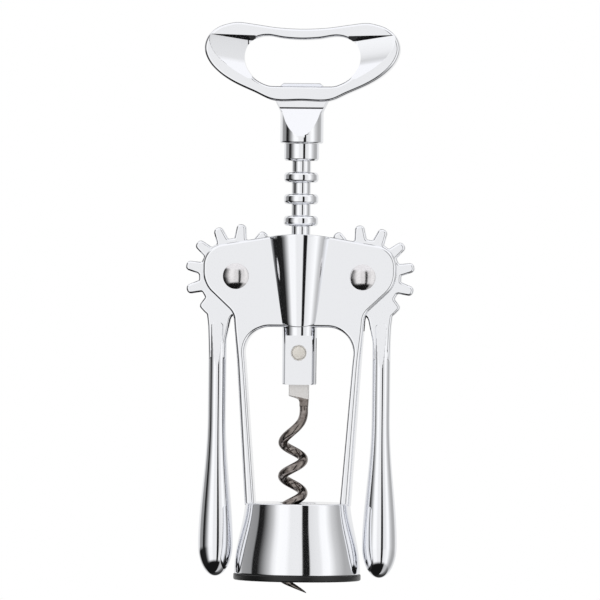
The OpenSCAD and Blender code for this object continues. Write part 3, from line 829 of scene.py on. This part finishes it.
def makeHandle():
    # the bow less its opening and four scoops, with the hub and its two facets and the lip added
    wide, high = handleHigh[0] - grip["inside"], handleHigh[2] - neckTop - grip["inside"]
    outline = throughPoints(mirrored(np.array(gripHalf) * [wide, high]), 14) + [0, neckTop]
    piece = plate("bowHandle", outline, edgeSection(grip["thick"], grip["edge"], 9))
    room = high * gripHalf[-1][1] - grip["holeFloor"] - grip["roof"]
    hole = np.array(holeHalf) * [grip["opening"], room] + [0, grip["holeFloor"]]
    cut = plate("openingCut", throughPoints(mirrored(hole), 14) + [0, neckTop],
                cutSection(grip["thick"], grip["holeEdge"], 8))
    combine(piece, cut, "DIFFERENCE")
    for side in (-1, 1):
        for face in (-1, 1):
            combine(piece, scoopCut(side, face), "DIFFERENCE")
    r = grip["hub"] / 2
    profile = rounded([(0, hubZ), (r, hubZ, 0.6), (r, neckTop - 3.2, 3.0), (grip["flare"], neckTop, 0.3),
                       (grip["flare"] - 0.5, neckTop + 0.8, 0.2), (0, neckTop + 0.8)], False, 0.12, 1.0)
    hub = turned("hub", profile, 144)
    tilt = grip["cutIn"] / (grip["neck"] - grip["lowCut"] - grip["tiltGap"])
    # each facet leans in up to a step, above which it is upright
    low, step, up = hubZ + grip["lowCut"], neckTop - grip["facetTop"], neckTop + 4
    inset = grip["thick"] / 2 - grip["facetIn"]
    for face in (-1, 1):
        section = np.array([(r, low), (r - tilt * (step - low), step), (inset, step), (inset, up),
                            (r + 8, up), (r + 8, low)]) * [face, 1]
        combine(hub, prism("facetCut", section, -12, 12), "DIFFERENCE")
    combine(piece, hub, "UNION")
    floor = neckTop + grip["holeFloor"]
    lip = [(grip["lipWide"], floor - 0.6, 0), (grip["lipWide"] - 1.6, floor + grip["lipHigh"], 0.5)]
    lip = rounded(lip + [(-x, z, q) for x, z, q in lip[::-1]], True, 0.1)
    lipBar = plate("capLip", lip, edgeSection(grip["lipThick"], 0.25, 4))
    # the lip leans outwards, so that its faces look down
    lean = grip["lipLean"] / grip["lipHigh"]
    widen = np.array([0, 1, 0])
    movePoints(lipBar, lambda p: p + widen * p * lean * (p[:, 2] - floor)[:, None])
    combine(piece, lipBar, "UNION")
    return finishPiece(piece, "spindle", ["handle"], chrome)


makeHandle()


# ---- camera, floor and light ----
view = {"azimuth": 4.0, "distance": 2.0, "centre": 0.0843, "roll": -0.64, "span": 0.1807}
camera = bpy.data.objects.new("camera", bpy.data.cameras.new("camera"))
bpy.context.scene.collection.objects.link(camera)
around = math.radians(view["azimuth"])
camera.location = (view["distance"] * math.sin(around), -view["distance"] * math.cos(around), view["centre"])
camera.rotation_mode = "XYZ"
camera.rotation_euler = (math.radians(90), math.radians(view["roll"]), around)
camera.data.sensor_width = 36
camera.data.lens = camera.data.sensor_width * view["distance"] / view["span"]
camera.data.clip_end = 50
bpy.context.scene.camera = camera

ground = {"radius": 330.0, "drop": 36.0}
floorMesh = turned("floor", np.array([(0, 0), (ground["radius"], 0)]), 64)
movePoints(floorMesh, lambda p: p - [0, 0, ground["drop"]])
floorMaterial, _, floorShader, _ = newMaterial("paleFloor")
floorShader.inputs["Base Color"].default_value = linear("#FCFCFC")
floorShader.inputs["Roughness"].default_value = 1.0
floorShader.inputs["Specular IOR Level"].default_value = 0.0
floorMesh.data.materials.append(floorMaterial)
floorMesh.visible_glossy = False

# grey levels of the studio round the object, by azimuth from the front view, positive to its right
studio = [
    (-180, 0.8), (-132, 0.8), (-120, 0.32), (-94, 0.26), (-90, 0.01), (-78, 0.015), (-72, 0.12), (-64, 0.3),
    (-54, 0.55), (-46, 0.85), (-38, 1.0), (-22, 0.98), (-14, 0.84), (3, 0.84), (9, 0.8), (10.5, 0.01),
    (23, 0.01), (24.5, 0.74), (44, 0.82), (50, 0.97), (62, 1.0), (78, 0.62), (98, 0.4),
    (118, 0.42), (132, 0.8), (180, 0.8),
]
# the same below the horizon, where the left dark band is wider
studioLow = [
    (-180, 0.75), (-148, 0.7), (-128, 0.01), (-72, 0.015), (-62, 0.2), (-52, 0.55), (-42, 0.95),
    (-22, 0.96), (-14, 0.84), (3, 0.84), (9, 0.8), (10.5, 0.01), (23, 0.01), (24.5, 0.78), (60, 1.0),
    (78, 0.6), (98, 0.36), (118, 0.4), (140, 0.75), (180, 0.75),
]
# and of the ground, dark all round except to the right
studioGround = [
    (-180, 0.03), (-125, 0.008), (40, 0.008), (48, 0.5), (75, 0.5), (95, 0.2), (130, 0.04), (180, 0.03),
]
ceilingTint = "#FAFAFC"


def lightStudio():
    # light walls with dark bands by azimuth, a white ceiling in front and a dark ground below the object
    world = bpy.data.worlds.new("studio")
    bpy.context.scene.world = world
    world.use_nodes = True
    tree = world.node_tree
    tree.nodes.clear()
    heading = addNode(tree, "ShaderNodeTexCoord").outputs["Generated"]
    way = addNode(tree, "ShaderNodeSeparateXYZ", None, {0: heading})
    back = addNode(tree, "ShaderNodeMath", {"operation": "MULTIPLY"}, {0: way.outputs["Y"], 1: -1.0})
    turn = addNode(tree, "ShaderNodeMath", {"operation": "ARCTAN2"},
                   {0: way.outputs["X"], 1: back.outputs[0]})
    share = addNode(tree, "ShaderNodeMapRange", None, {"Value": turn.outputs[0], "From Min": -math.pi,
                    "From Max": math.pi})
    bands = []
    for levels in (studio, studioLow, studioGround):
        stops = [(max(0, min(1, (a + view["azimuth"] + 180) / 360)), grey) for a, grey in levels]
        bands.append(fillRamp(addNode(tree, "ShaderNodeValToRGB", None, {"Fac": share.outputs[0]}), stops))
    lift = addNode(tree, "ShaderNodeMath", {"operation": "ARCSINE"}, {0: way.outputs["Z"]})
    height = addNode(tree, "ShaderNodeMapRange", None, {"Value": lift.outputs[0], "From Min": -math.pi / 2,
                     "From Max": math.pi / 2})
    beneath = fillRamp(addNode(tree, "ShaderNodeValToRGB", None, {"Fac": height.outputs[0]}),
                      [(0, 1), (0.275, 1), (0.315, 0), (1, 0)])
    ceiling = fillRamp(addNode(tree, "ShaderNodeValToRGB", None, {"Fac": height.outputs[0]}),
                       [(0, 0), (0.68, 0), (0.73, 1), (1, 1)])
    # behind the object the ceiling is dark
    depth = fillRamp(addNode(tree, "ShaderNodeValToRGB", None, {"Fac": way.outputs["Y"]}),
                     [(0, 1), (0.42, 1), (0.46, 0.02), (1, 0.02)])
    roof = addNode(tree, "ShaderNodeMix", {"data_type": "RGBA", "blend_type": "MULTIPLY"},
                   {0: 1.0, 6: depth.outputs[0], 7: linear(ceilingTint)})
    below = fillRamp(addNode(tree, "ShaderNodeValToRGB", None, {"Fac": height.outputs[0]}),
                     [(0, 1), (0.45, 1), (0.475, 0), (1, 0)])
    walls = addNode(tree, "ShaderNodeMix", {"data_type": "RGBA"},
                    {0: below.outputs[0], 6: bands[0].outputs[0], 7: bands[1].outputs[0]})
    low = addNode(tree, "ShaderNodeMix", {"data_type": "RGBA"}, {0: beneath.outputs[0], 6: walls.outputs[2],
                  7: bands[2].outputs[0]})
    high = addNode(tree, "ShaderNodeMix", {"data_type": "RGBA"}, {0: ceiling.outputs[0], 6: low.outputs[2],
                   7: roof.outputs[2]})
    lit = addNode(tree, "ShaderNodeBackground", None, {"Color": high.outputs[2], "Strength": 1.08})
    plain = addNode(tree, "ShaderNodeBackground", None, {"Color": (1, 1, 1, 1), "Strength": 1.0})
    path = addNode(tree, "ShaderNodeLightPath")
    mix = addNode(tree, "ShaderNodeMixShader", None, {0: path.outputs["Is Glossy Ray"], 1: plain.outputs[0],
                  2: lit.outputs[0]})
    addNode(tree, "ShaderNodeOutputWorld", None, {"Surface": mix.outputs[0]})


lightStudio()
bpy.context.scene.view_settings.view_transform = "Standard"
print("studio ready")
